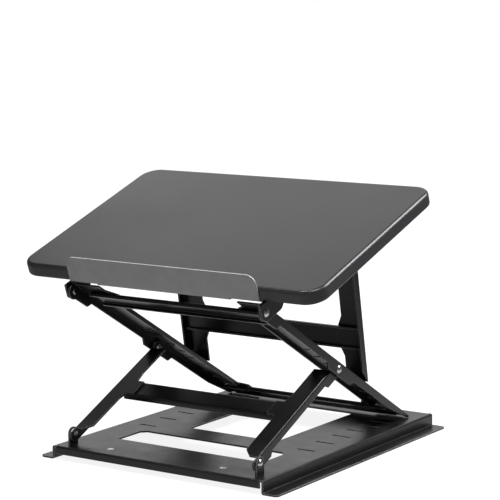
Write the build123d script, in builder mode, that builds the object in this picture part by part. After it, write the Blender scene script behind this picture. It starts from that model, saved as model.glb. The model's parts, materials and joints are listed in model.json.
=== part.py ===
"""Folding sheet-steel laptop riser: slotted base, scissor legs and arms, tilting tray on a rear prop.

Millimetres. +X right, +Y to the rear, +Z up. The origin is on the floor under the middle of the base.
The model stands at its second-lowest height setting, with the tray propped at 19 degrees.
"""
from build123d import *
import math
import os

os.makedirs("parts", exist_ok=True)

# ---------------------------------------------------------------- sheet and fastener stock
SHEET = 2.0
HALF = SHEET / 2
BEND = 1.4                      # bend radius on the middle of the sheet
STOP_SHEET = 1.6
SPAN = 500.0                    # longer than anything that a trimming cut has to reach

RIVET_R = 3.0
RUNNING_GAP = 0.05              # radial clearance of a pin in its hole, and end float of a washer
DOME_R = 4.5
DOME_H = 2.2
CLENCH_R = 3.6
CLENCH_H = 1.3
WASHER_R = 5.4
LAYER_GAP = 0.6                 # space between two sheets of a hinge, filled by a washer

SCREW_R = 1.7
SCREW_HEAD_R = 3.4
SCREW_HEAD_H = 1.7
SCREW_LENGTH = 10.0

# ---------------------------------------------------------------- base
BASE_W = 276.0
BASE_D = 356.0
BASE_TOP = 15.5
PAD_T = 0.4
FOOT_FLANGE_W = 17.2
FOOT_CHAMFER = 3.0
LIP_H = 9.0
LIP_RELIEF = 4.6
FRONT_WINDOW = (193.0, 47.0)
FRONT_WINDOW_Y = -92.0
REAR_WINDOW = (118.0, 164.0)
REAR_WINDOW_Y = 51.0
WINDOW_CHAMFER = 6.0            # rear corners of both windows
HEIGHT_SLOT_COUNT = 9
HEIGHT_SLOT = (24.0, 3.2)
HEIGHT_SLOT_X = 106.5
HEIGHT_SLOT_REAR_Y = 154.2
HEIGHT_SLOT_FIRST_STEP = 11.5   # pitch at the rear end of the row
HEIGHT_SLOT_GROWTH = 3.9        # each pitch is this much longer than the one behind it
NUT_X = 74.0
NUT_Y = 157.0
NUT_R = 5.5
NUT_H = 5.5
PLUG_R = 2.1
PLUG_HEAD_R = 3.9
PLUG_LENGTH = 6.5
PAD_SIZE = (11.0, 46.0)
PAD_CORNER = 3.0
PAD_Y = 148.0
BASE_EAR_R = 7.3

# ---------------------------------------------------------------- sheet layers across the width
LEG_FACE_X = 121.0              # outer face of the leg webs
MID_GAP = 1.6                   # between legs and arms
BASE_EAR_X = LEG_FACE_X + LAYER_GAP + SHEET
ARM_FACE_X = LEG_FACE_X + MID_GAP + SHEET
PROP_FACE_X = ARM_FACE_X - SHEET - LAYER_GAP
EAR_FACE_X = ARM_FACE_X + LAYER_GAP + SHEET

# ---------------------------------------------------------------- linkage, as (y, z)
BASE_PIVOT = (-161.0, 27.5)
LEG_LENGTH = 169.0
LEG_ANGLE = 25.0
ARM_UPPER = 168.5               # middle pivot to tray hinge
ARM_ANGLE = 30.2
TRAY_TILT = 19.0
PROP_LEAN = 10.3                # from the vertical

LEG_TOP = 5.8                   # heights above and below the pivot line of the link
LEG_LOW = -3.6
LEG_EAR_R = 8.5
LEG_EAR_END = 23.0
LEG_MID_R = 6.2
LEG_MID_LOW = -9.0
LEG_MID_EAR = 22.0              # how far the deep part reaches down the leg from the middle pivot
LEG_STEP = 5.0
LEG_FLANGE_X = 100.5
LEG_FLANGE = (3.2, 158.0)       # along the leg
LEG_CORNER = 9.0
LEG_TONGUE_X = 88.5
LEG_TONGUE = (74.0, 96.5)       # along the leg
LEG_FLARE = (2.5, 11.5, 15.0)   # depth, length below and length above the tongue
CROSSBAR_HALF_W = 104.0
CROSSBAR = (73.6, 98.0)
CROSSBAR_LIP = 7.5

ARM_TOP = 8.5
ARM_LOW = -1.0
ARM_EAR_LOW = -6.8
ARM_EAR_R = 9.0
ARM_EAR_END = 29.0
ARM_MID_EAR = (147.0, 199.0)
ARM_STEP = 5.5
ARM_FLANGE_X = 90.0
ARM_GUSSET_X = 78.0
ARM_FRONT = -3.0
ARM_FRONT_GUSSET = (9.0, 19.0, 44.0)
ARM_LIP = (50.0, 304.0)
ARM_LIP_LOW = 2.9
FOOT_RISE = 5.8                 # slope of the underside into the foot, in degrees
FOOT_OVERRUN = 6.0              # foot end beyond the point that it pivots about
FOOT_CLEARANCE = 0.4            # foot to base plate all through the fold

TILT_SLOT_COUNT = 9
TILT_SLOT = (17.6, 3.6)
TILT_SLOT_X = 107.5
TILT_SLOT_PITCH = 22.3
TILT_SLOT_LAST = 308.0

RAIL_HALF_W = 112.0
RAIL_LIP = 5.5
FOOT_RAIL_REAR_LIP = 3.0
TOP_RAIL = (13.4, 42.4)
FOOT_RAIL = (307.6, 336.8)

# ---------------------------------------------------------------- tray, measured from its hinge
BOARD_W = 387.0
BOARD_D = 256.0
BOARD_T = 15.8
BOARD_CORNER = 22.0
BOARD_TOP_EDGE = 4.0
BOARD_LOW_EDGE = 3.0
BOARD_BOTTOM = 13.1
BOARD_FRONT = -1.0
STOP_W = 246.0
STOP_H = 31.7
STOP_CORNER = 11.0
STOP_FLANGE = (172.0, 20.0)
STOP_SCREW_X = 62.0
STOP_SCREW_V = 10.5
TRAY_EAR_FRONT = -9.0
TRAY_EAR_REAR = 33.0
TRAY_EAR_LOW = -9.3
TRAY_EAR_TIP = 6.5              # chamfer of the ear's lower front corner
TRAY_EAR_HEEL = 9.0             # radius of its lower rear corner
TRAY_FLANGE_X = 93.0
TRAY_SCREW_X = (102.0, 116.0)
TRAY_SCREW_V = 24.0
PROP_PIVOT_V = 187.2
PROP_BRACKET_HALF = 15.0
PROP_BRACKET_R = 8.0
PROP_BRACKET_OUT = 152.0
PROP_SCREW_X = 140.0
PROP_SCREW_V = 9.0

# ---------------------------------------------------------------- prop, measured from its hinge
PROP_INNER_X = 94.5
PROP_FACE = 4.6                 # middle of the leg face, behind the pivot line
PROP_FRONT = -5.4               # front edge of the side flange
PROP_TOP_R = 7.5
PROP_TIP = 177.6
PROP_HOOK_W = 15.6
PROP_HOOK_L = 2.6
PROP_FACE_TOP = 5.5             # where the face starts; above it there is only the hinge ear
PROP_TRIM = 17.0                # side flange's front corner above the tip
PROP_FLARE = 5.0
PROP_FLARE_L = 11.0
PROP_BAR = (110.6, 136.0)
PROP_BAR_HALF_W = 118.5
PROP_BAR_LIP = 5.0


def along(origin, angle, distance):
    """The (y, z) point at a distance from an origin, in a direction given in degrees."""
    turn = math.radians(angle)
    return (origin[0] + distance * math.cos(turn), origin[1] + distance * math.sin(turn))


MID_PIVOT = along(BASE_PIVOT, LEG_ANGLE, LEG_LENGTH)
TRAY_PIVOT = along(MID_PIVOT, 180.0 - ARM_ANGLE, ARM_UPPER)
PROP_PIVOT = along(TRAY_PIVOT, TRAY_TILT, PROP_PIVOT_V)

# Each link is described along and above its pivot line: (origin, direction in degrees).
LEG = (BASE_PIVOT, LEG_ANGLE)
ARM = (TRAY_PIVOT, -ARM_ANGLE)
TRAY = (TRAY_PIVOT, TRAY_TILT)
PROP = (PROP_PIVOT, PROP_LEAN - 90.0)
LEVEL = ((0.0, 0.0), 0.0)


def side_view(link, x=0.0):
    """Plane seen from the side: local x runs along the link, local y above its pivot line."""
    (y, z), angle = link
    turn = math.radians(angle)
    return Plane(origin=(x, y, z), x_dir=(0, math.cos(turn), math.sin(turn)), z_dir=(1, 0, 0))


def top_view(link, height):
    """Plane seen from above the link: local x is X, local y runs along the link."""
    (y, z), angle = link
    turn = math.radians(angle)
    normal = (0, -math.sin(turn), math.cos(turn))
    origin = (0, y + height * normal[1], z + height * normal[2])
    return Plane(origin=origin, x_dir=(1, 0, 0), z_dir=normal)


def end_view(link, distance):
    """Plane across the link, facing back to its origin: local x is X, local y the height."""
    (y, z) = along(*link, distance)
    turn = math.radians(link[1])
    return Plane(origin=(0, y, z), x_dir=(1, 0, 0), z_dir=(0, -math.cos(turn), -math.sin(turn)))


def bent_sheet(plane, points, length, thickness=SHEET, radius=BEND):
    """Add a bent sheet to the current part: its centre line, and how far it runs."""
    with BuildSketch(plane) as section:
        with BuildLine():
            FilletPolyline(*points, radius=radius)
        trace(line_width=thickness)
    extrude(section.sketch, amount=length)


def keep_outline(plane, points, *rounds):
    """Trim the current part to an outline: a polygon joined with any number of (centre, radius) discs."""
    with BuildSketch(plane) as outline:
        Polygon(*points, align=None)
        for centre, radius in rounds:
            with Locations(centre):
                Circle(radius)
    extrude(outline.sketch, amount=SPAN, both=True, mode=Mode.INTERSECT)


def drill(*pivots):
    """Drill the current part across its width for a rivet at each pivot."""
    with BuildSketch(side_view(LEVEL)) as holes:
        with Locations(*pivots):
            Circle(RIVET_R + RUNNING_GAP)
    extrude(holes.sketch, amount=SPAN, mode=Mode.SUBTRACT)


def save(part, name):
    part.label = name
    export_step(part, f"parts/{name}.step")


def save_pair(part, name):
    """Write a right-hand piece and its mirror image."""
    save(part, f"{name}_right")
    save(mirror(part, about=Plane.YZ), f"{name}_left")


# ================================================================ rivets, washers and screws
def rivet_pair(pivot, inner_x, outer_x):
    """Rivets on both sides of the riser: domed outside, clenched inside."""
    (y, z) = pivot
    reach = outer_x - inner_x
    ball_r = (DOME_R ** 2 + DOME_H ** 2) / (2 * DOME_H)
    ball_x = reach + DOME_H - ball_r
    half_turn = math.asin(DOME_R / ball_r) / 2
    dome_mid = (ball_x + ball_r * math.cos(half_turn), ball_r * math.sin(half_turn))
    with BuildPart() as rivets:
        with BuildSketch(Plane(origin=(inner_x, y, z), x_dir=(1, 0, 0), z_dir=(0, -1, 0))):
            with BuildLine():
                Polyline(
                    (reach + DOME_H, 0),
                    (-CLENCH_H, 0),
                    (-CLENCH_H, CLENCH_R * 0.7),
                    (-CLENCH_H * 0.5, CLENCH_R),
                    (0, CLENCH_R),
                    (0, RIVET_R),
                    (reach, RIVET_R),
                    (reach, DOME_R),
                )
                ThreePointArc((reach, DOME_R), dome_mid, (reach + DOME_H, 0))
            make_face()
        revolve(axis=Axis((inner_x, y, z), (1, 0, 0)))
        mirror(about=Plane.YZ)
    return rivets.part


def washer_pair(pivot, inner_x, gap):
    """Washers that fill the gap between two sheets, but for their end float."""
    with BuildPart() as washers:
        with BuildSketch(side_view((pivot, 0.0), inner_x + RUNNING_GAP)):
            Circle(WASHER_R)
            Circle(RIVET_R + RUNNING_GAP, mode=Mode.SUBTRACT)
        extrude(amount=gap - 2 * RUNNING_GAP)
        mirror(about=Plane.YZ)
    return washers.part


def tray_screws(head_height, spots):
    """Pan-head screws driven up into the tray board; spots are (x, distance from the tray hinge)."""
    with BuildPart() as screws:
        with BuildSketch(top_view(TRAY, head_height)):
            with Locations(*spots):
                Circle(SCREW_HEAD_R)
        extrude(amount=-SCREW_HEAD_H)
        with BuildSketch(top_view(TRAY, head_height)):
            with Locations(*spots):
                Circle(SCREW_R)
        extrude(amount=SCREW_LENGTH)
    return screws.part


def both_sides(spots):
    return [(side * x, v) for side in (-1, 1) for x, v in spots]


STOP_SCREWS = [(-STOP_SCREW_X, STOP_SCREW_V), (STOP_SCREW_X, STOP_SCREW_V)]
TRAY_SCREWS = both_sides([(x, TRAY_SCREW_V) for x in TRAY_SCREW_X])
PROP_SCREWS = both_sides([(PROP_SCREW_X, PROP_PIVOT_V + step) for step in (-PROP_SCREW_V, PROP_SCREW_V)])


def drill_for_screws(spots, depth):
    """Drill the current part from the underside of the board: upwards, or downwards if depth is negative."""
    with BuildSketch(top_view(TRAY, BOARD_BOTTOM)) as holes:
        with Locations(*spots):
            Circle(SCREW_R + RUNNING_GAP)
    extrude(holes.sketch, amount=depth, mode=Mode.SUBTRACT)


# ================================================================ base
def height_slot_ys():
    """Rows of the height slots from the rear; the pitch grows evenly towards the front."""
    rows = []
    for step in range(HEIGHT_SLOT_COUNT):
        growth = HEIGHT_SLOT_GROWTH * step * (step - 1) / 2
        rows.append(HEIGHT_SLOT_REAR_Y - HEIGHT_SLOT_FIRST_STEP * step - growth)
    return rows


def build_base_plate():
    web_x = BASE_W / 2 - HALF
    foot_x = BASE_W / 2 + FOOT_FLANGE_W
    top = BASE_TOP - HALF
    low = PAD_T + HALF
    bend_depth = BEND + HALF
    lip_w = BASE_W - 2 * LIP_RELIEF
    with BuildPart() as plate:
        profile = [(-foot_x, low), (-web_x, low), (-web_x, top), (web_x, top), (web_x, low), (foot_x, low)]
        bent_sheet(Plane.XZ.offset(-BASE_D / 2), profile, BASE_D)
        foot_edges = plate.edges().filter_by(Axis.Z).filter_by(lambda edge: abs(edge.center().X) > foot_x - HALF)
        chamfer(foot_edges, FOOT_CHAMFER)
        with BuildSketch(Plane.XY.offset(BASE_TOP)):
            with GridLocations(0, BASE_D - bend_depth, 1, 2):
                Rectangle(lip_w, bend_depth)
        extrude(amount=-SHEET, mode=Mode.SUBTRACT)
        for end in (-1, 1):
            lip_y = end * (BASE_D / 2 - HALF)
            flat_y = end * (BASE_D / 2 - bend_depth - HALF)
            lip = [(lip_y, BASE_TOP - LIP_H), (lip_y, top), (flat_y, top)]
            bent_sheet(side_view(LEVEL, -lip_w / 2), lip, lip_w)
        with BuildSketch(Plane.XY.offset(BASE_TOP)):
            with Locations((0, FRONT_WINDOW_Y)):
                Rectangle(*FRONT_WINDOW)
            with Locations((0, REAR_WINDOW_Y)):
                Rectangle(*REAR_WINDOW)
            corner_rows = vertices().group_by(Axis.Y)
            chamfer(corner_rows[1] + corner_rows[3], WINDOW_CHAMFER)
            for y in height_slot_ys():
                with Locations((-HEIGHT_SLOT_X, y), (HEIGHT_SLOT_X, y)):
                    SlotOverall(*HEIGHT_SLOT)
        extrude(amount=-BASE_TOP, mode=Mode.SUBTRACT)
        with Locations(Plane.XY.offset(BASE_TOP)):
            with GridLocations(2 * NUT_X, 2 * NUT_Y, 2, 2):
                CounterSinkHole(
                    radius=PLUG_R + RUNNING_GAP,
                    counter_sink_radius=PLUG_HEAD_R + RUNNING_GAP,
                    counter_sink_angle=90,
                    depth=2 * SHEET,
                )
    return plate.part


def build_plate_nuts():
    """Round nuts under the plate."""
    with BuildPart() as nuts:
        with BuildSketch(Plane.XY.offset(BASE_TOP - SHEET)):
            with GridLocations(2 * NUT_X, 2 * NUT_Y, 2, 2):
                Circle(NUT_R)
                Circle(PLUG_R + RUNNING_GAP, mode=Mode.SUBTRACT)
        extrude(amount=-NUT_H)
        rims = nuts.edges().group_by(Axis.Z)[0].filter_by(lambda edge: edge.radius > PLUG_HEAD_R)
        chamfer(rims, HALF)
    return nuts.part


def build_plate_screws():
    """Countersunk screws, their heads level with the plate."""
    sink = PLUG_HEAD_R - PLUG_R
    with BuildPart() as screws:
        for x in (-NUT_X, NUT_X):
            for y in (-NUT_Y, NUT_Y):
                with BuildSketch(Plane.XZ.offset(-y)):
                    with Locations((x, BASE_TOP)):
                        Polygon((0, 0), (PLUG_HEAD_R, 0), (PLUG_R, -sink), (PLUG_R, -PLUG_LENGTH),
                                (0, -PLUG_LENGTH), align=None)
                revolve(axis=Axis((x, y, 0), (0, 0, 1)))
    return screws.part


def build_pads():
    """Rubber strips under the foot flanges."""
    with BuildPart() as pads:
        with BuildSketch():
            with GridLocations(BASE_W + FOOT_FLANGE_W, 2 * PAD_Y, 2, 2):
                RectangleRounded(*PAD_SIZE, radius=PAD_CORNER)
        extrude(amount=PAD_T)
    return pads.part


def build_base_ear():
    """Upright ear, welded to the plate, that carries the leg's lower rivet."""
    (y, z) = BASE_PIVOT
    with BuildPart() as ear:
        with BuildSketch(side_view(LEVEL, BASE_EAR_X - SHEET)):
            with Locations((y, z)):
                Circle(BASE_EAR_R)
            with Locations((y, (z + BASE_TOP) / 2)):
                Rectangle(2 * BASE_EAR_R, z - BASE_TOP)
        extrude(amount=SHEET)
        drill(BASE_PIVOT)
    return ear.part


# ================================================================ legs
def build_leg():
    web_x = LEG_FACE_X - HALF
    inner_x = LEG_FACE_X - SHEET
    flange = LEG_TOP - HALF
    mid_edge = LEG_MID_R * math.sqrt(0.5)
    flare, flare_low, flare_high = LEG_FLARE
    side = [
        (0, LEG_TOP),
        (0, -LEG_EAR_R),
        (LEG_EAR_END, -LEG_EAR_R),
        (LEG_EAR_END + LEG_STEP, LEG_LOW),
        (LEG_LENGTH - LEG_MID_EAR - LEG_STEP, LEG_LOW),
        (LEG_LENGTH - LEG_MID_EAR, LEG_MID_LOW),
        (LEG_LENGTH - mid_edge, LEG_MID_LOW),
        (LEG_LENGTH + mid_edge, -mid_edge),
        (LEG_LENGTH, LEG_TOP),
    ]
    plan = [
        (LEG_FACE_X, -LEG_EAR_R),
        (inner_x, -LEG_EAR_R),
        (inner_x, LEG_FLANGE[0]),
        (LEG_FLANGE_X + LEG_CORNER, LEG_FLANGE[0]),
        (LEG_FLANGE_X, LEG_FLANGE[0] + LEG_CORNER),
        (LEG_FLANGE_X, LEG_TONGUE[0] - flare_low),
        (LEG_FLANGE_X - flare, LEG_TONGUE[0]),
        (LEG_TONGUE_X, LEG_TONGUE[0]),
        (LEG_TONGUE_X, LEG_TONGUE[1]),
        (LEG_FLANGE_X - flare, LEG_TONGUE[1]),
        (LEG_FLANGE_X, LEG_TONGUE[1] + flare_high),
        (LEG_FLANGE_X, LEG_FLANGE[1]),
        (inner_x, LEG_FLANGE[1]),
        (inner_x, LEG_LENGTH + LEG_MID_R),
        (LEG_FACE_X, LEG_LENGTH + LEG_MID_R),
    ]
    with BuildPart() as leg:
        profile = [(LEG_TONGUE_X, flange), (web_x, flange), (web_x, LEG_MID_LOW)]
        bent_sheet(end_view(LEG, LEG_LENGTH + LEG_MID_R), profile, LEG_LENGTH + LEG_MID_R + LEG_EAR_R)
        keep_outline(side_view(LEG), side, ((0, 0), LEG_EAR_R), ((LEG_LENGTH, 0), LEG_MID_R))
        keep_outline(top_view(LEG, 0), plan)
        drill(BASE_PIVOT, MID_PIVOT)
    return leg.part


def build_leg_crossbar():
    """Channel welded under the tongues of both legs."""
    face = LEG_TOP - SHEET - HALF
    front = CROSSBAR[0] + HALF
    rear = CROSSBAR[1] - HALF
    low = LEG_TOP - SHEET - CROSSBAR_LIP
    with BuildPart() as bar:
        profile = [(front, low), (front, face), (rear, face), (rear, low)]
        bent_sheet(side_view(LEG, -CROSSBAR_HALF_W), profile, 2 * CROSSBAR_HALF_W)
    return bar.part


# ================================================================ arms
# The foot turns about a point level with the base pivots, so its rounded end keeps one height in the fold.
FOOT_TURN = (
    ARM_UPPER + LEG_LENGTH * math.cos(math.radians(ARM_ANGLE - LEG_ANGLE)),
    LEG_LENGTH * math.sin(math.radians(ARM_ANGLE - LEG_ANGLE)),
)
FOOT_R = BASE_PIVOT[1] - BASE_TOP - FOOT_CLEARANCE
ARM_END = FOOT_TURN[0] + FOOT_OVERRUN


def cut_tilt_slots(depth):
    """Cut both rows of tilt slots into the current part, from the top of the arm flanges."""
    with BuildSketch(top_view(ARM, ARM_TOP)) as slots:
        for step in range(TILT_SLOT_COUNT):
            distance = TILT_SLOT_LAST - step * TILT_SLOT_PITCH
            with Locations((-TILT_SLOT_X, distance), (TILT_SLOT_X, distance)):
                SlotOverall(*TILT_SLOT)
    extrude(slots.sketch, amount=-depth, mode=Mode.SUBTRACT)


def build_arm():
    web_x = ARM_FACE_X - HALF
    inner_x = ARM_FACE_X - SHEET
    flange = ARM_TOP - HALF
    lip_x = ARM_FLANGE_X + HALF
    lip_root_x = ARM_FLANGE_X + HALF + BEND
    rise = math.radians(FOOT_RISE)
    toe = (FOOT_TURN[0] + FOOT_R * math.sin(rise), FOOT_TURN[1] - FOOT_R * math.cos(rise))
    toe_start = toe[0] - (toe[1] - ARM_LOW) / math.tan(rise)
    gusset_start, gusset_full, gusset_end = ARM_FRONT_GUSSET
    side = [
        (0, ARM_TOP),
        (0, ARM_EAR_LOW),
        (ARM_EAR_END, ARM_EAR_LOW),
        (ARM_EAR_END + ARM_STEP, ARM_LOW),
        (ARM_MID_EAR[0] - ARM_STEP, ARM_LOW),
        (ARM_MID_EAR[0], ARM_EAR_LOW),
        (ARM_MID_EAR[1], ARM_EAR_LOW),
        (ARM_MID_EAR[1] + ARM_STEP, ARM_LOW),
        (toe_start, ARM_LOW),
        toe,
        FOOT_TURN,
        (0, FOOT_TURN[1]),
    ]
    plan = [
        (ARM_FACE_X, -ARM_EAR_R),
        (inner_x, -ARM_EAR_R),
        (inner_x, ARM_FRONT),
        (ARM_FLANGE_X, ARM_FRONT),
        (ARM_FLANGE_X, gusset_start),
        (ARM_GUSSET_X, gusset_full),
        (ARM_GUSSET_X, gusset_end),
        (ARM_FLANGE_X, ARM_LIP[0]),
        (lip_root_x, ARM_LIP[0]),
        (lip_root_x, ARM_LIP[1]),
        (ARM_FLANGE_X, ARM_LIP[1]),
        (ARM_GUSSET_X, FOOT_RAIL[0]),
        (ARM_GUSSET_X, FOOT_RAIL[1]),
        (ARM_GUSSET_X + ARM_STEP, ARM_END),
        (ARM_FACE_X, ARM_END),
    ]
    with BuildPart() as arm:
        profile = [(ARM_GUSSET_X, flange), (web_x, flange), (web_x, ARM_EAR_LOW - ARM_EAR_R)]
        bent_sheet(end_view(ARM, ARM_END), profile, ARM_END + ARM_EAR_R)
        keep_outline(side_view(ARM), side, ((0, 0), ARM_EAR_R), (FOOT_TURN, FOOT_R))
        keep_outline(top_view(ARM, 0), plan)
        lip = [(lip_x, ARM_LIP_LOW), (lip_x, flange), (lip_root_x + HALF, flange)]
        bent_sheet(end_view(ARM, ARM_LIP[1]), lip, ARM_LIP[1] - ARM_LIP[0])
        cut_tilt_slots(SHEET)
        drill(TRAY_PIVOT, MID_PIVOT)
    return arm.part


def build_rail(reach, rear_lip):
    """Channel welded under the flanges of both arms; its rear lip can be shorter than its front lip."""
    face = ARM_TOP - SHEET - HALF
    top = ARM_TOP - SHEET
    front = reach[0] + HALF
    rear = reach[1] - HALF
    with BuildPart() as rail:
        profile = [(front, top - RAIL_LIP), (front, face), (rear, face), (rear, top - rear_lip)]
        bent_sheet(side_view(ARM, -RAIL_HALF_W), profile, 2 * RAIL_HALF_W)
        cut_tilt_slots(2 * SHEET)
    return rail.part


# ================================================================ tray
def build_board():
    with BuildPart() as board:
        with BuildSketch(top_view(TRAY, BOARD_BOTTOM)):
            with Locations((0, BOARD_FRONT + BOARD_D / 2)):
                RectangleRounded(BOARD_W, BOARD_D, radius=BOARD_CORNER)
        extrude(amount=BOARD_T)
        upwards = Axis((0, 0, 0), top_view(TRAY, 0).z_dir)
        fillet(board.faces().sort_by(upwards)[-1].edges(), BOARD_TOP_EDGE)
        fillet(board.faces().sort_by(upwards)[0].edges(), BOARD_LOW_EDGE)
        drill_for_screws(STOP_SCREWS + TRAY_SCREWS + PROP_SCREWS, SCREW_LENGTH)
    return board.part


def build_stop_plate():
    """Front stop: an upright sheet against the board, with a flange screwed underneath."""
    half = STOP_SHEET / 2
    face = BOARD_FRONT - half
    under = BOARD_BOTTOM - half
    root = under + STOP_SHEET
    top = BOARD_BOTTOM - STOP_SHEET + STOP_H
    with BuildPart() as stop:
        with BuildSketch(end_view(TRAY, BOARD_FRONT)):
            with Locations((0, (root + top) / 2)):
                Rectangle(STOP_W, top - root)
            fillet(vertices().group_by(Axis.Y)[-1], STOP_CORNER)
            fillet(vertices().group_by(Axis.Y)[0], STOP_SHEET)
        extrude(amount=STOP_SHEET)
        profile = [(face, root + STOP_SHEET), (face, under), (STOP_FLANGE[1], under)]
        bent_sheet(side_view(TRAY, -STOP_FLANGE[0] / 2), profile, STOP_FLANGE[0], STOP_SHEET, STOP_SHEET)
        drill_for_screws(STOP_SCREWS, -SHEET)
    return stop.part


def build_tray_bracket():
    """Angle under the board; its ear hangs outside the arm."""
    web_x = EAR_FACE_X - HALF
    inner_x = EAR_FACE_X - SHEET
    under = BOARD_BOTTOM - HALF
    flange_front = BOARD_FRONT + BOARD_LOW_EDGE
    heel = (TRAY_EAR_REAR - TRAY_EAR_HEEL, TRAY_EAR_LOW + TRAY_EAR_HEEL)
    side = [
        (TRAY_EAR_FRONT, BOARD_BOTTOM),
        (TRAY_EAR_FRONT, TRAY_EAR_LOW + TRAY_EAR_TIP),
        (TRAY_EAR_FRONT + TRAY_EAR_TIP, TRAY_EAR_LOW),
        (heel[0], TRAY_EAR_LOW),
        heel,
        (TRAY_EAR_REAR, heel[1]),
        (TRAY_EAR_REAR, BOARD_BOTTOM),
    ]
    plan = [
        (EAR_FACE_X, TRAY_EAR_FRONT),
        (inner_x, TRAY_EAR_FRONT),
        (inner_x, flange_front),
        (TRAY_FLANGE_X, flange_front),
        (TRAY_FLANGE_X, TRAY_EAR_REAR),
        (EAR_FACE_X, TRAY_EAR_REAR),
    ]
    with BuildPart() as bracket:
        profile = [(TRAY_FLANGE_X, under), (web_x, under), (web_x, TRAY_EAR_LOW)]
        bent_sheet(end_view(TRAY, TRAY_EAR_REAR), profile, TRAY_EAR_REAR - TRAY_EAR_FRONT)
        keep_outline(side_view(TRAY), side, (heel, TRAY_EAR_HEEL))
        keep_outline(top_view(TRAY, 0), plan)
        drill(TRAY_PIVOT)
        drill_for_screws(TRAY_SCREWS, -SHEET)
    return bracket.part


def build_prop_bracket():
    """Angle under the board, outside the prop; its flange turns outwards."""
    web_x = ARM_FACE_X - HALF
    under = BOARD_BOTTOM - HALF
    middle = PROP_PIVOT_V
    side = [
        (middle - PROP_BRACKET_HALF, BOARD_BOTTOM),
        (middle - PROP_BRACKET_HALF, BOARD_BOTTOM - SHEET),
        (middle - PROP_BRACKET_R, 0),
        (middle + PROP_BRACKET_R, 0),
        (middle + PROP_BRACKET_HALF, BOARD_BOTTOM - SHEET),
        (middle + PROP_BRACKET_HALF, BOARD_BOTTOM),
    ]
    with BuildPart() as bracket:
        profile = [(PROP_BRACKET_OUT, under), (web_x, under), (web_x, -PROP_BRACKET_R)]
        bent_sheet(end_view(TRAY, middle + PROP_BRACKET_HALF), profile, 2 * PROP_BRACKET_HALF)
        keep_outline(side_view(TRAY), side, ((middle, 0), PROP_BRACKET_R))
        drill(PROP_PIVOT)
        drill_for_screws(PROP_SCREWS, -SHEET)
    return bracket.part


# ================================================================ prop
def build_prop_leg():
    web_x = PROP_FACE_X - HALF
    inner_x = PROP_FACE_X - SHEET
    back = PROP_FACE + HALF
    shoulder = PROP_TIP - PROP_HOOK_L
    hook_in = TILT_SLOT_X - PROP_HOOK_W / 2
    hook_out = TILT_SLOT_X + PROP_HOOK_W / 2
    flare_x = PROP_INNER_X - PROP_FLARE
    side = [
        (0, back),
        (0, -PROP_TOP_R),
        (2 * PROP_TOP_R, PROP_FRONT),
        (PROP_TIP - PROP_TRIM, PROP_FRONT),
        (shoulder, PROP_FACE - HALF),
        (PROP_TIP, PROP_FACE - HALF),
        (PROP_TIP, back),
    ]
    plan = [
        (PROP_FACE_X, -PROP_TOP_R),
        (inner_x, -PROP_TOP_R),
        (inner_x, PROP_FACE_TOP),
        (PROP_INNER_X, PROP_FACE_TOP),
        (PROP_INNER_X, PROP_BAR[0] - PROP_FLARE_L),
        (flare_x, PROP_BAR[0]),
        (flare_x, PROP_BAR[1]),
        (PROP_INNER_X, PROP_BAR[1] + PROP_FLARE_L),
        (PROP_INNER_X, shoulder),
        (hook_in, shoulder),
        (hook_in, PROP_TIP),
        (hook_out, PROP_TIP),
        (hook_out, shoulder),
        (PROP_FACE_X, shoulder),
    ]
    with BuildPart() as leg:
        profile = [(flare_x, PROP_FACE), (web_x, PROP_FACE), (web_x, -PROP_TOP_R)]
        bent_sheet(end_view(PROP, PROP_TIP), profile, PROP_TIP + PROP_TOP_R)
        keep_outline(side_view(PROP), side, ((0, 0), PROP_TOP_R))
        keep_outline(top_view(PROP, 0), plan)
        drill(PROP_PIVOT)
    return leg.part


def build_prop_crossbar():
    """Channel welded to the front of both prop legs, its lips turned forwards."""
    face = PROP_FACE - SHEET
    tip = PROP_FACE - HALF - PROP_BAR_LIP
    upper = PROP_BAR[0] + HALF
    lower = PROP_BAR[1] - HALF
    with BuildPart() as bar:
        profile = [(upper, tip), (upper, face), (lower, face), (lower, tip)]
        bent_sheet(side_view(PROP, -PROP_BAR_HALF_W), profile, 2 * PROP_BAR_HALF_W)
    return bar.part


# ================================================================ every piece
LEG_INNER_X = LEG_FACE_X - SHEET
ARM_INNER_X = ARM_FACE_X - SHEET

save(build_base_plate(), "base_plate")
save(build_plate_nuts(), "base_nuts")
save(build_plate_screws(), "base_screws")
save(build_pads(), "base_pads")
save_pair(build_base_ear(), "base_ear")
save(rivet_pair(BASE_PIVOT, LEG_INNER_X, BASE_EAR_X), "base_pivot_rivets")
save(washer_pair(BASE_PIVOT, LEG_FACE_X, LAYER_GAP), "base_pivot_washers")

save_pair(build_leg(), "leg")
save(build_leg_crossbar(), "leg_crossbar")
save(rivet_pair(MID_PIVOT, LEG_INNER_X, ARM_FACE_X), "middle_pivot_rivets")
save(washer_pair(MID_PIVOT, LEG_FACE_X, MID_GAP), "middle_pivot_washers")

save_pair(build_arm(), "arm")
save(build_rail(TOP_RAIL, RAIL_LIP), "top_rail")
save(build_rail(FOOT_RAIL, FOOT_RAIL_REAR_LIP), "foot_rail")

save(build_board(), "tray_board")
save(build_stop_plate(), "stop_plate")
save(tray_screws(BOARD_BOTTOM - STOP_SHEET, STOP_SCREWS), "stop_plate_screws")
save_pair(build_tray_bracket(), "tray_bracket")
save(tray_screws(BOARD_BOTTOM - SHEET, TRAY_SCREWS), "tray_bracket_screws")
save(rivet_pair(TRAY_PIVOT, ARM_INNER_X, EAR_FACE_X), "tray_hinge_rivets")
save(washer_pair(TRAY_PIVOT, ARM_FACE_X, LAYER_GAP), "tray_hinge_washers")

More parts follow.
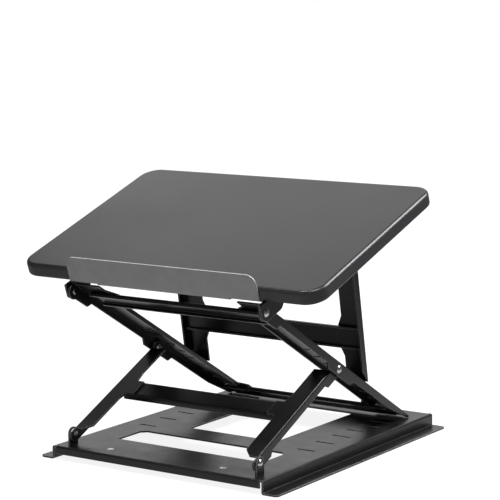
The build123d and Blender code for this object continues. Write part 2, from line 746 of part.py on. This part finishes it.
save_pair(build_prop_bracket(), "prop_bracket")
save(tray_screws(BOARD_BOTTOM - SHEET, PROP_SCREWS), "prop_bracket_screws")
save_pair(build_prop_leg(), "prop_leg")
save(build_prop_crossbar(), "prop_crossbar")
save(rivet_pair(PROP_PIVOT, PROP_FACE_X - SHEET, ARM_FACE_X), "prop_hinge_rivets")
save(washer_pair(PROP_PIVOT, PROP_FACE_X, LAYER_GAP), "prop_hinge_washers")
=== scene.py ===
"""Looks for the folding steel laptop riser: materials, small hardware, studio light and camera."""
import json
import math

import bmesh
import bpy
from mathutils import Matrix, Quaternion, Vector


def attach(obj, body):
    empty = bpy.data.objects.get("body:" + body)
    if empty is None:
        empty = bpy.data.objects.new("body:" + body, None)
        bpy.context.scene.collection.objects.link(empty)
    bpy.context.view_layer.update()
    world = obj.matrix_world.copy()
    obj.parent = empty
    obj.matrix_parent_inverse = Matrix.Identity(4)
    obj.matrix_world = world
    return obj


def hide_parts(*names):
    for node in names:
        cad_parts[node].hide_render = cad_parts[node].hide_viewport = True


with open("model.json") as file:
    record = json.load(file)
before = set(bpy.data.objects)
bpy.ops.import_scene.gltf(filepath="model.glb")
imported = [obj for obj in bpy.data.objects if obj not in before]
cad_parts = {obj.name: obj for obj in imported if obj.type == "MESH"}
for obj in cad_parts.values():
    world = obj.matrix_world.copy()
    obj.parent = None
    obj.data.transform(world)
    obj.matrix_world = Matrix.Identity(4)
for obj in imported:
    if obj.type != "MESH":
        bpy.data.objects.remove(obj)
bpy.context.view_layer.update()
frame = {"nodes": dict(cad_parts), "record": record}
NODES = frame["nodes"]

MM = 0.001
WHITE = (1.0, 1.0, 1.0, 1.0)

# Camera: the point it aims at, and how far round, up and back it stands. Azimuth 0 is in front of
# the object and 90 on its right, here and for the lights.
AIM = Vector((-0.0006, 0.0062, 0.2185))
CAMERA_AZIMUTH = 34.044
CAMERA_ELEVATION = 8.351
CAMERA_ROLL = -0.332
CAMERA_DISTANCE = 2.193
CAMERA_REACH = 50.0
LENS = 141.575
SENSOR = 36.0

# Soft lights that face the object: name, azimuth, elevation, distance, width and power.
LIGHT_AIM = Vector((0, 0, 0.15))
SOFTBOXES = (
    ("overhead", -60, 72, 1.9, 0.35, 20),
    ("rear_left", -146, 30, 2.6, 1.8, 12),
    ("front_left", -20, 30, 2.4, 0.8, 5),
    ("upper_right", 138, 50, 2.2, 1.10, 85),
    ("upper_front_right", 46, 64, 2.2, 0.70, 48),
)

# How bright the sky is where the camera sees it, and as a light: dim all round, and brighter behind
# and to the left, where the tops of the plates mirror it.
SKY_SEEN = 1.0
SKY_DIM = 0.17
SKY_BRIGHT = 0.34
SKY_BRIGHT_AZIMUTH = -146.0
SKY_BRIGHT_FROM = 0.3

# The floor, and its own glow: as the camera sees it, near and far, and as a light, near and far.
# Each glow changes over a span of distances from the middle of the floor.
FLOOR_REACH = 12.0
FLOOR_NOISE = (3, 2)
FLOOR_TONES = ((0.11, 0.11, 0.11), (0.13, 0.13, 0.13))
FLOOR_ROUGHNESS = 0.8
FLOOR_SPECULAR = 0.1
GLOW_SEEN = (0.88, 0.97)
GLOW_SEEN_SPAN = (0.6, 2.5)
GLOW_LIGHT = (0.75, 0.03)
GLOW_LIGHT_SPAN = (0.30, 0.75)

POWDER = (0.0040, 0.0040, 0.0044)
# The black coat's edge tone is a painted highlight along its cut edges.
POWDER_PAINTED_EDGE_HIGHLIGHT = (0.42, 0.42, 0.43)
# The stop plate has the same black coat; its lighter face tone is painted light, and its darker
# edge tone is painted shade along its cut edges.
STOP_PAINTED_LIGHT_TONE = (0.235, 0.235, 0.240)
STOP_PAINTED_EDGE_SHADE = (0.030, 0.030, 0.032)
BOARD_TONE = (0.0085, 0.0085, 0.0095)
# The board's side tone is painted light on its side faces.
BOARD_SIDE_PAINTED_LIGHT = (0.024, 0.024, 0.026)
RIVET_STEEL = (0.42, 0.42, 0.43)
SCREW_STEEL = (0.42, 0.42, 0.425)
NYLON = (0.72, 0.72, 0.69)
RUBBER = (0.012, 0.012, 0.012)

# In each material a noise is its scale and detail, tones are factors on the colour above, and a
# bump is its distance and strength. Most of a noise lies between these two values.
NOISE_SPAN = (0.3, 0.7)

COAT_MOTTLE = (55, 3)
COAT_PEEL = (1100, 1)
COAT_TONES = (0.93, 1.08)
COAT_ROUGHNESS = 0.32
STOP_ROUGHNESS = 0.40
COAT_ROUGHNESS_SPREAD = (-0.03, 0.04)
COAT_BUMP = (0.05 * MM, 0.35)
COAT_SPECULAR = 0.27

# The rounded normal of a cut edge, and how far it turns away where the edge's painted tone starts
# and where it is full. That tone is a painted highlight on the black coat and painted shade on the
# stop plate.
EDGE_ROUND = 0.65 * MM
EDGE_SAMPLES = 6
EDGE_TURN_START = 0.02
EDGE_TURN_FULL = 0.22

BOARD_CLOUD = (12, 4)
BOARD_PEBBLE = (1500, 2)
BOARD_TONES = (0.85, 1.2)
BOARD_ROUGHNESS = (0.27, 0.35)
BOARD_BUMP = (0.06 * MM, 0.5)
BOARD_SPECULAR = 0.25
BOARD_SIDE_LIGHT_SPAN = (0.45, 0.75)

TURNED_MARKS = (900, 2)
TURNED_STRETCH = (6.0, 1.0, 1.0)
TURNED_TONES = (0.8, 1.25)
TURNED_ROUGHNESS_SPREAD = (-0.06, 0.08)
TURNED_BUMP = (0.02 * MM, 0.4)
RIVET_ROUGHNESS = 0.17
SCREW_ROUGHNESS = 0.30

NYLON_CLOUD = (300, 2)
NYLON_TONES = (0.88, 1.05)
NYLON_ROUGHNESS = (0.38, 0.5)

RUBBER_DUST = (60, 3)
RUBBER_GRAIN = (1400, 3)
RUBBER_TONES = (1.0, 1.8)
RUBBER_ROUGHNESS = (0.68, 0.82)
RUBBER_BUMP = (0.08 * MM, 0.6)

# Screws: the cross recess and its taper, the crowned pan head, and the shank or plug with its tip.
RECESS_WIDTH = 0.62 * MM
RECESS_REACH = 2.1 * MM
RECESS_TAPER = 0.5
RECESS_WALL = 0.30 * MM
RECESS_DEPTH = 1.0 * MM
PAN_CROWN = 0.9 * MM
PAN_DEPTH = 1.7 * MM
SHANK_R = 1.7 * MM
SHANK_TIP_R = SHANK_R / 4
PLUG_R = 2.1 * MM
PLUG_TIP_R = PLUG_R / 2
CROWN_ROUND = 0.97
SCREW_RINGS = 18
SCREW_SIDES = 64
WELD_DISTANCE = 0.005 * MM
SHARP_ANGLE = math.radians(40)


def direction(azimuth, elevation):
    """The way out from the object to a place round and above it."""
    turn = math.radians(azimuth)
    rise = math.radians(elevation)
    level = math.cos(rise)
    return Vector((math.sin(turn) * level, -math.cos(turn) * level, math.sin(rise)))


def seat_axis():
    """The direction that the tray's top faces, at rest."""
    mounts = {mount["name"]: mount for mount in frame["record"]["mounts"]}
    return Vector(mounts["laptop_seat"]["axis"])


def shaded(tone, factor):
    return tuple(channel * factor for channel in tone)


# ---------------------------------------------------------------- node helpers
class Shader:
    """One material's node tree, with the few connections that every material here is made of."""

    def __init__(self, name):
        self.material = bpy.data.materials.new(name)
        self.material.use_nodes = True
        self.tree = self.material.node_tree
        self.surface = self.tree.nodes["Principled BSDF"]
        self.place = self.node("ShaderNodeTexCoord").outputs["Object"]

    def node(self, kind, **settings):
        made = self.tree.nodes.new(kind)
        for name, value in settings.items():
            setattr(made, name, value)
        return made

    def link(self, source, target):
        self.tree.links.new(source, target)

    def set(self, **values):
        """Puts constant values on the surface's own sockets."""
        for name, value in values.items():
            self.surface.inputs[name.replace("_", " ")].default_value = value

    def wire(self, **sources):
        """Links other nodes' outputs to the surface's sockets."""
        for name, source in sources.items():
            self.link(source, self.surface.inputs[name.replace("_", " ")])

    def noise(self, scale, detail, stretch=None):
        texture = self.node("ShaderNodeTexNoise")
        texture.inputs["Scale"].default_value = scale
        texture.inputs["Detail"].default_value = detail
        place = self.place
        if stretch:
            mapping = self.node("ShaderNodeMapping")
            mapping.inputs["Scale"].default_value = stretch
            self.link(place, mapping.inputs["Vector"])
            place = mapping.outputs["Vector"]
        self.link(place, texture.inputs["Vector"])
        return texture.outputs["Fac"]

    def spread(self, source, low, high, span=NOISE_SPAN):
        """The source's span of values stretched to run from low to high."""
        spread = self.node("ShaderNodeMapRange")
        spread.inputs["From Min"].default_value = span[0]
        spread.inputs["From Max"].default_value = span[1]
        spread.inputs["To Min"].default_value = low
        spread.inputs["To Max"].default_value = high
        self.link(source, spread.inputs["Value"])
        return spread.outputs["Result"]

    def mix(self, factor, first, second):
        """A colour between two, each a colour or another node's output."""
        mix = self.node("ShaderNodeMix", data_type="RGBA")
        self.link(factor, mix.inputs["Factor"])
        for value, socket in ((first, mix.inputs["A"]), (second, mix.inputs["B"])):
            if isinstance(value, tuple):
                socket.default_value = (*value, 1.0)
            else:
                self.link(value, socket)
        return mix.outputs["Result"]

    def clouded(self, noise, tone, factors):
        """A tone that a noise takes from one factor of itself to another."""
        darker, lighter = (shaded(tone, factor) for factor in factors)
        return self.mix(self.spread(noise, 0.0, 1.0), darker, lighter)

    def bump(self, height, distance, strength, under=None):
        bump = self.node("ShaderNodeBump")
        bump.inputs["Distance"].default_value = distance
        bump.inputs["Strength"].default_value = strength
        self.link(height, bump.inputs["Height"])
        if under:
            self.link(under, bump.inputs["Normal"])
        return bump.outputs["Normal"]

    def rounded_normal(self, radius):
        bevel = self.node("ShaderNodeBevel", samples=EDGE_SAMPLES)
        bevel.inputs["Radius"].default_value = radius
        return bevel.outputs["Normal"]

    def painted_edge_mask(self, rounded):
        """1 along the cut edges, where the rounded normal turns away; it places the painted edge
        tone.
        """
        dot = self.node("ShaderNodeVectorMath", operation="DOT_PRODUCT")
        self.link(self.node("ShaderNodeNewGeometry").outputs["Normal"], dot.inputs[0])
        self.link(rounded, dot.inputs[1])
        span = (1.0 - EDGE_TURN_FULL, 1.0 - EDGE_TURN_START)
        return self.spread(dot.outputs["Value"], 1.0, 0.0, span)


# ---------------------------------------------------------------- materials
def powder_coat(name, tone, roughness, edge):
    """Satin powder coat: fine orange peel, faint mottling and a painted edge tone along the cut
    edges.
    """
    s = Shader(name)
    mottle = s.noise(*COAT_MOTTLE)
    peel = s.noise(*COAT_PEEL)
    rounded = s.rounded_normal(EDGE_ROUND)
    smoother, rougher = COAT_ROUGHNESS_SPREAD
    # The edge tone is painted light: a painted highlight on the black coat, painted shade on the
    # stop plate.
    s.wire(
        Base_Color=s.mix(s.painted_edge_mask(rounded), s.clouded(mottle, tone, COAT_TONES), edge),
        Roughness=s.spread(mottle, roughness + smoother, roughness + rougher),
        Normal=s.bump(peel, *COAT_BUMP, under=rounded),
    )
    s.set(Specular_IOR_Level=COAT_SPECULAR)
    return s.material


def board_laminate():
    """Charcoal board with a fine pebbled skin, cloudy tone and painted light: its side faces
    lighter.
    """
    s = Shader("board_laminate")
    cloud = s.noise(*BOARD_CLOUD)
    pebble = s.noise(*BOARD_PEBBLE)
    facing = s.node("ShaderNodeVectorMath", operation="DOT_PRODUCT")
    facing.inputs[1].default_value = seat_axis()
    s.link(s.node("ShaderNodeTexCoord").outputs["Normal"], facing.inputs[0])
    flatness = s.node("ShaderNodeMath", operation="ABSOLUTE")
    s.link(facing.outputs["Value"], flatness.inputs[0])
    # Side faces, across the seat axis, get a lighter tone that is painted light, not the board's
    # colour.
    painted_side_light = s.spread(flatness.outputs["Value"], 1.0, 0.0, BOARD_SIDE_LIGHT_SPAN)
    s.wire(
        Base_Color=s.mix(painted_side_light, s.clouded(cloud, BOARD_TONE, BOARD_TONES), BOARD_SIDE_PAINTED_LIGHT),
        Roughness=s.spread(cloud, *BOARD_ROUGHNESS),
        Normal=s.bump(pebble, *BOARD_BUMP),
    )
    s.set(Specular_IOR_Level=BOARD_SPECULAR)
    return s.material


def turned_steel(name, tone, roughness):
    """Polished steel with fine turning marks."""
    s = Shader(name)
    marks = s.noise(*TURNED_MARKS, stretch=TURNED_STRETCH)
    smoother, rougher = TURNED_ROUGHNESS_SPREAD
    s.wire(
        Base_Color=s.clouded(marks, tone, TURNED_TONES),
        Roughness=s.spread(marks, roughness + smoother, roughness + rougher),
        Normal=s.bump(marks, *TURNED_BUMP),
    )
    s.set(Metallic=1.0)
    return s.material


def white_nylon():
    """Slightly cloudy nylon."""
    s = Shader("white_nylon")
    cloud = s.noise(*NYLON_CLOUD)
    s.wire(
        Base_Color=s.clouded(cloud, NYLON, NYLON_TONES),
        Roughness=s.spread(cloud, *NYLON_ROUGHNESS),
    )
    return s.material


def soft_rubber():
    """Dull rubber with a fine grain and a little dust."""
    s = Shader("soft_rubber")
    grain = s.noise(*RUBBER_GRAIN)
    dust = s.noise(*RUBBER_DUST)
    s.wire(
        Base_Color=s.clouded(dust, RUBBER, RUBBER_TONES),
        Roughness=s.spread(dust, *RUBBER_ROUGHNESS),
        Normal=s.bump(grain, *RUBBER_BUMP),
    )
    return s.material


def dress_nodes():
    """Gives every CAD node the material that its slot in the record stands for."""
    by_slot = {
        "black_steel": powder_coat("black_powder_coat", POWDER, COAT_ROUGHNESS, POWDER_PAINTED_EDGE_HIGHLIGHT),
        # Stop plate: the black coat with painted light on its faces and painted shade on its cut
        # edges.
        "stop_steel": powder_coat("stop_plate_painted_light_coat", STOP_PAINTED_LIGHT_TONE, STOP_ROUGHNESS, STOP_PAINTED_EDGE_SHADE),
        "board": board_laminate(),
        "rivet": turned_steel("rivet_steel", RIVET_STEEL, RIVET_ROUGHNESS),
        "screw": turned_steel("screw_steel", SCREW_STEEL, SCREW_ROUGHNESS),
        "washer": white_nylon(),
        "rubber": soft_rubber(),
    }
    for part in frame["record"]["subparts"]:
        node = NODES[part["node"]]
        node.data.materials.clear()
        node.data.materials.append(by_slot[part["material_slot"]])
    return by_slot


# ---------------------------------------------------------------- small hardware
def islands(node):
    """Vertex positions of each separate screw in a CAD node, in the mesh's own order."""
    form = bmesh.new()
    form.from_mesh(NODES[node].data)
    bmesh.ops.remove_doubles(form, verts=form.verts, dist=WELD_DISTANCE)
    seen = set()
    found = []
    for start in form.verts:
        if start in seen:
            continue
        seen.add(start)
        reached = [start]
        for vertex in reached:
            for edge in vertex.link_edges:
                other = edge.other_vert(vertex)
                if other not in seen:
                    seen.add(other)
                    reached.append(other)
        found.append([vertex.co.copy() for vertex in reached])
    form.free()
    return found


def recess(x, y):
    """How far, from 0 to 1, the cross recess is sunk at a point of the screw's face."""
    depth = 0.0
    for along, across in ((abs(x), abs(y)), (abs(y), abs(x))):
        width = RECESS_WIDTH * (1 - RECESS_TAPER * along / RECESS_REACH)
        side = min(1.0, max(0.0, (width - across) / RECESS_WALL))
        end = min(1.0, max(0.0, (RECESS_REACH - along) / RECESS_WALL))
        depth = max(depth, side * end)
    return depth


def add_screw(form, points, out, crown):
    """One screw with a cross recess, in the place and size of a CAD screw whose head faces out."""
    across = Vector((1, 0, 0))
    side = out.cross(across).normalized()
    spans = []
    for axis in (across, side, out):
        reaches = [point.dot(axis) for point in points]
        spans.append((min(reaches), max(reaches)))
    middle_across, middle_side = ((low + high) / 2 for low, high in spans[:2])
    radius = (spans[0][1] - spans[0][0]) / 2
    bottom, top = spans[2]
    length = top - bottom

    # Each ring is its radius and its depth below the head's top. The face's rings have no depth of
    # their own, because the crown and the recess give it point by point.
    rings = [(radius * ring / SCREW_RINGS, None) for ring in range(1, SCREW_RINGS + 1)]
    if crown:
        rings += [(radius, PAN_DEPTH), (SHANK_R, PAN_DEPTH)]
        rings += [(SHANK_R, length - SHANK_R), (SHANK_TIP_R, length)]
    else:
        rings += [(PLUG_R, radius - PLUG_R), (PLUG_R, length - PLUG_R), (PLUG_TIP_R, length)]

    def place(x, y, depth):
        return across * (middle_across + x) + side * (middle_side + y) + out * (top - depth)

    def face_depth(x, y):
        reach = min(1.0, math.hypot(x, y) / radius)
        fall = 1 - math.sqrt(max(0.0, 1 - CROWN_ROUND * reach**2))
        return crown * fall + RECESS_DEPTH * recess(x, y)

    centre = form.verts.new(place(0, 0, face_depth(0, 0)))
    before = None
    for distance, depth in rings:
        row = []
        for step in range(SCREW_SIDES):
            angle = 2 * math.pi * step / SCREW_SIDES
            x, y = distance * math.cos(angle), distance * math.sin(angle)
            row.append(form.verts.new(place(x, y, face_depth(x, y) if depth is None else depth)))
        for step in range(SCREW_SIDES):
            after = (step + 1) % SCREW_SIDES
            if before is None:
                form.faces.new((centre, row[step], row[after]))
            else:
                form.faces.new((before[step], row[step], row[after], before[after]))
        before = row
    form.faces.new(before)


def cross_screws(name, node, body, out, crown, material):
    """Stands for a CAD node of plain screws: the same screws with cross recesses in their heads."""
    form = bmesh.new()
    for points in islands(node):
        add_screw(form, points, out, crown)
    bmesh.ops.recalc_face_normals(form, faces=form.faces)
    mesh = bpy.data.meshes.new(name)
    form.to_mesh(mesh)
    form.free()
    mesh.shade_smooth()
    mesh.set_sharp_from_angle(angle=SHARP_ANGLE)
    mesh.materials.append(material)
    piece = bpy.data.objects.new(name, mesh)
    bpy.context.scene.collection.objects.link(piece)
    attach(piece, body)
    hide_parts(node)


def screws(material):
    """Flat heads in the base plate, and crowned heads under the tray."""
    above = Vector((0, 0, 1))
    below_tray = -seat_axis()
    cross_screws("base_cross_screws", "base_screws", "base", above, 0.0, material)
    for node in ("stop_plate_screws", "tray_bracket_screws", "prop_bracket_screws"):
        name = node.replace("screws", "cross_screws")
        cross_screws(name, node, "tray", below_tray, PAN_CROWN, material)


# ---------------------------------------------------------------- studio
def floor():
    """Pale floor that runs out of sight."""
    low, high = -FLOOR_REACH, FLOOR_REACH
    corners = [(low, low, 0), (high, low, 0), (high, high, 0), (low, high, 0)]
    mesh = bpy.data.meshes.new("floor")
    mesh.from_pydata(corners, [], [(0, 1, 2, 3)])
    ground = bpy.data.objects.new("floor", mesh)
    bpy.context.scene.collection.objects.link(ground)
    s = Shader("pale_floor")
    s.set(
        Roughness=FLOOR_ROUGHNESS,
        Specular_IOR_Level=FLOOR_SPECULAR,
        Emission_Color=WHITE,
    )
    away = s.node("ShaderNodeVectorMath", operation="LENGTH")
    s.link(s.place, away.inputs[0])
    glow = s.node("ShaderNodeMix", data_type="FLOAT")
    s.link(s.node("ShaderNodeLightPath").outputs["Is Camera Ray"], glow.inputs["Factor"])
    s.link(s.spread(away.outputs["Value"], *GLOW_LIGHT, GLOW_LIGHT_SPAN), glow.inputs["A"])
    s.link(s.spread(away.outputs["Value"], *GLOW_SEEN, GLOW_SEEN_SPAN), glow.inputs["B"])
    s.wire(
        Base_Color=s.mix(s.noise(*FLOOR_NOISE), *FLOOR_TONES),
        Emission_Strength=glow.outputs["Result"],
    )
    mesh.materials.append(s.material)


def softbox(name, azimuth, elevation, distance, size, power):
    """A square soft light that faces the object."""
    away = direction(azimuth, elevation)
    light = bpy.data.lights.new(name, "AREA")
    light.size = size
    light.energy = power
    lamp = bpy.data.objects.new(name, light)
    bpy.context.scene.collection.objects.link(lamp)
    lamp.location = LIGHT_AIM + away * distance
    lamp.rotation_mode = "QUATERNION"
    lamp.rotation_quaternion = (-away).to_track_quat("-Z", "Y")


def sky():
    """White where the camera sees it, and as a light a dim grey that brightens on one side."""
    world = bpy.data.worlds.new("studio")
    world.use_nodes = True
    nodes = world.node_tree.nodes
    link = world.node_tree.links.new
    backdrop = nodes["Background"]
    backdrop.inputs["Color"].default_value = WHITE
    facing = nodes.new("ShaderNodeVectorMath")
    facing.operation = "DOT_PRODUCT"
    facing.inputs[1].default_value = direction(SKY_BRIGHT_AZIMUTH, 0.0)
    link(nodes.new("ShaderNodeTexCoord").outputs["Generated"], facing.inputs[0])
    light = nodes.new("ShaderNodeMapRange")
    light.inputs["From Min"].default_value = SKY_BRIGHT_FROM
    light.inputs["To Min"].default_value = SKY_DIM
    light.inputs["To Max"].default_value = SKY_BRIGHT
    link(facing.outputs["Value"], light.inputs["Value"])
    strength = nodes.new("ShaderNodeMapRange")
    strength.inputs["To Max"].default_value = SKY_SEEN
    link(nodes.new("ShaderNodeLightPath").outputs["Is Camera Ray"], strength.inputs["Value"])
    link(light.outputs["Result"], strength.inputs["To Min"])
    link(strength.outputs["Result"], backdrop.inputs["Strength"])
    bpy.context.scene.world = world
    bpy.context.scene.view_settings.view_transform = "Standard"


def camera():
    away = direction(CAMERA_AZIMUTH, CAMERA_ELEVATION)
    data = bpy.data.cameras.new("camera")
    data.lens = LENS
    data.sensor_width = SENSOR
    data.clip_end = CAMERA_REACH
    eye = bpy.data.objects.new("camera", data)
    bpy.context.scene.collection.objects.link(eye)
    eye.location = AIM + away * CAMERA_DISTANCE
    eye.rotation_mode = "QUATERNION"
    roll = Quaternion((0, 0, 1), math.radians(CAMERA_ROLL))
    eye.rotation_quaternion = (-away).to_track_quat("-Z", "Y") @ roll
    bpy.context.scene.camera = eye


finishes = dress_nodes()
screws(finishes["screw"])
floor()
sky()
for softbox_values in SOFTBOXES:
    softbox(*softbox_values)
camera()
